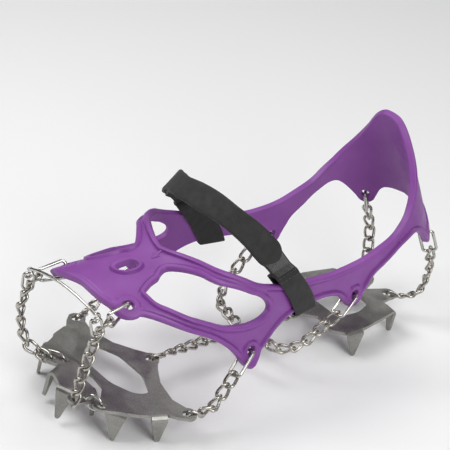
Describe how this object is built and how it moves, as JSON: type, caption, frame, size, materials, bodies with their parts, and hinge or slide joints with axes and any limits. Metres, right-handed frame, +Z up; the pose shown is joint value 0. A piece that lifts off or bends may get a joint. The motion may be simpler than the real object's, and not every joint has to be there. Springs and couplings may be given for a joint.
{
  "type": "crampons",
  "caption": "Slip-on chain crampon: an elastomer harness and instep strap hold spiked steel plates on chains under a boot's sole.",
  "frame": {"origin": "middle of the crampon's footprint, on the ground under the spike tips", "axes": "+Z up; -Y towards the toe, +Y towards the heel; +X the outer side of a left foot"},
  "size_m": [0.127, 0.2746, 0.1452],
  "materials": {
    "elastomer": "satin moulded purple elastomer",
    "webbing": "woven black nylon",
    "spike_plate": "brushed stainless sheet",
    "chain": "polished stainless wire",
    "wire": "polished stainless wire"
  },
  "bodies": {
    "base": {"arch_chain_front": "chain", "arch_chain_rear": "chain", "arch_ring": "chain", "bail_link_left": "wire", "bail_link_right": "wire", "front_chain_left": "chain", "front_chain_right": "chain", "front_wire_left": "wire", "front_wire_right": "wire", "harness": "elastomer", "heel_plate": "spike_plate", "mid_plate": "spike_plate", "strap_base": "webbing", "strap_sleeve_left": "webbing", "strap_sleeve_right": "webbing", "toe_link_left": "chain", "toe_link_right": "chain"},
    "strap_tail_body": {"strap_tail": "webbing"},
    "toe_bail_body": {"toe_bail": "wire"},
    "toe_plate_body": {"toe_plate": "spike_plate"},
    "mid_wire_left_body": {"mid_wire_left": "wire"},
    "mid_chain_left_body": {"mid_chain_left": "chain"},
    "mid_wire_right_body": {"mid_wire_right": "wire"},
    "mid_chain_right_body": {"mid_chain_right": "chain"},
    "rear_wire_left_body": {"rear_wire_left": "wire"},
    "rear_chain_left_body": {"rear_chain_left": "chain"},
    "rear_wire_right_body": {"rear_wire_right": "wire"},
    "rear_chain_right_body": {"rear_chain_right": "chain"},
    "heel_wire_left_body": {"heel_wire_left": "wire"},
    "heel_chain_left_body": {"heel_chain_left": "chain"},
    "heel_wire_right_body": {"heel_wire_right": "wire"},
    "heel_chain_right_body": {"heel_chain_right": "chain"}
  },
  "joints": [
    {"name": "strap_peel", "type": "hinge", "parent": "base", "child": "strap_tail_body", "pos_m": [-0.04395, -0.01489, 0.09216], "axis": [-0.1018, -0.943, -0.3169], "range_deg": [0, 50]},
    {"name": "toe_bail_swing", "type": "hinge", "parent": "base", "child": "toe_bail_body", "pos_m": [0.02469, -0.12591, 0.076], "axis": [0.9969, 0.0556, 0.0556], "range_deg": [-10, 85]},
    {"name": "toe_plate_flex", "type": "hinge", "parent": "base", "child": "toe_plate_body", "pos_m": [0.0021, -0.12675, 0.02213], "axis": [0.9659, -0.2588, 0], "range_deg": [-5, 6]},
    {"name": "mid_wire_left_swing", "type": "hinge", "parent": "base", "child": "mid_wire_left_body", "pos_m": [0.05208, -0.03341, 0.044], "axis": [0.9586, 0.1218, 0.2574], "range_deg": [-8, 8]},
    {"name": "mid_chain_left_swing", "type": "hinge", "parent": "mid_wire_left_body", "child": "mid_chain_left_body", "pos_m": [0.05669, -0.04641, 0.033], "axis": [0.9586, 0.1218, 0.2574], "range_deg": [-12.4, 12.4]},
    {"name": "mid_wire_right_swing", "type": "hinge", "parent": "base", "child": "mid_wire_right_body", "pos_m": [-0.0527, -0.03341, 0.044], "axis": [-0.9586, 0.1218, 0.2574], "range_deg": [-8, 8]},
    {"name": "mid_chain_right_swing", "type": "hinge", "parent": "mid_wire_right_body", "child": "mid_chain_right_body", "pos_m": [-0.05731, -0.04641, 0.033], "axis": [-0.9586, 0.1218, 0.2574], "range_deg": [-12.4, 12.4]},
    {"name": "rear_wire_left_swing", "type": "hinge", "parent": "base", "child": "rear_wire_left_body", "pos_m": [0.03971, 0.05609, 0.0512], "axis": [0.9896, 0.1188, 0.0817], "range_deg": [-8, 8]},
    {"name": "rear_chain_left_swing", "type": "hinge", "parent": "rear_wire_left_body", "child": "rear_chain_left_body", "pos_m": [0.04209, 0.04359, 0.0405], "axis": [0.9896, 0.1188, 0.0817], "range_deg": [-12, 12]},
    {"name": "rear_wire_right_swing", "type": "hinge", "parent": "base", "child": "rear_wire_right_body", "pos_m": [-0.04033, 0.05609, 0.0512], "axis": [-0.9896, 0.1188, 0.0817], "range_deg": [-8, 8]},
    {"name": "rear_chain_right_swing", "type": "hinge", "parent": "rear_wire_right_body", "child": "rear_chain_right_body", "pos_m": [-0.04271, 0.04359, 0.0405], "axis": [-0.9896, 0.1188, 0.0817], "range_deg": [-12, 12]},
    {"name": "heel_wire_left_swing", "type": "hinge", "parent": "base", "child": "heel_wire_left_body", "pos_m": [0.02814, 0.12317, 0.0715], "axis": [0.6823, 0.6465, 0.3414], "range_deg": [-8, 8]},
    {"name": "heel_chain_left_swing", "type": "hinge", "parent": "heel_wire_left_body", "child": "heel_chain_left_body", "pos_m": [0.02969, 0.12909, 0.0572], "axis": [0.6823, 0.6465, 0.3414], "range_deg": [-12.4, 12.4]},
    {"name": "heel_wire_right_swing", "type": "hinge", "parent": "base", "child": "heel_wire_right_body", "pos_m": [-0.02876, 0.12317, 0.0715], "axis": [-0.6823, 0.6465, 0.3414], "range_deg": [-8, 8]},
    {"name": "heel_chain_right_swing", "type": "hinge", "parent": "heel_wire_right_body", "child": "heel_chain_right_body", "pos_m": [-0.03031, 0.12909, 0.0572], "axis": [-0.6823, 0.6465, 0.3414], "range_deg": [-12.4, 12.4]}
  ],
  "couplings": [
    {"joint": "mid_chain_left_swing", "follows": "mid_wire_left_swing", "ratio": -1.4834},
    {"joint": "mid_chain_right_swing", "follows": "mid_wire_right_swing", "ratio": -1.4931},
    {"joint": "rear_chain_left_swing", "follows": "rear_wire_left_swing", "ratio": -1.4428},
    {"joint": "rear_chain_right_swing", "follows": "rear_wire_right_swing", "ratio": -1.4428},
    {"joint": "heel_chain_left_swing", "follows": "heel_wire_left_swing", "ratio": -1.4909},
    {"joint": "heel_chain_right_swing", "follows": "heel_wire_right_swing", "ratio": -1.4909}
  ]
}
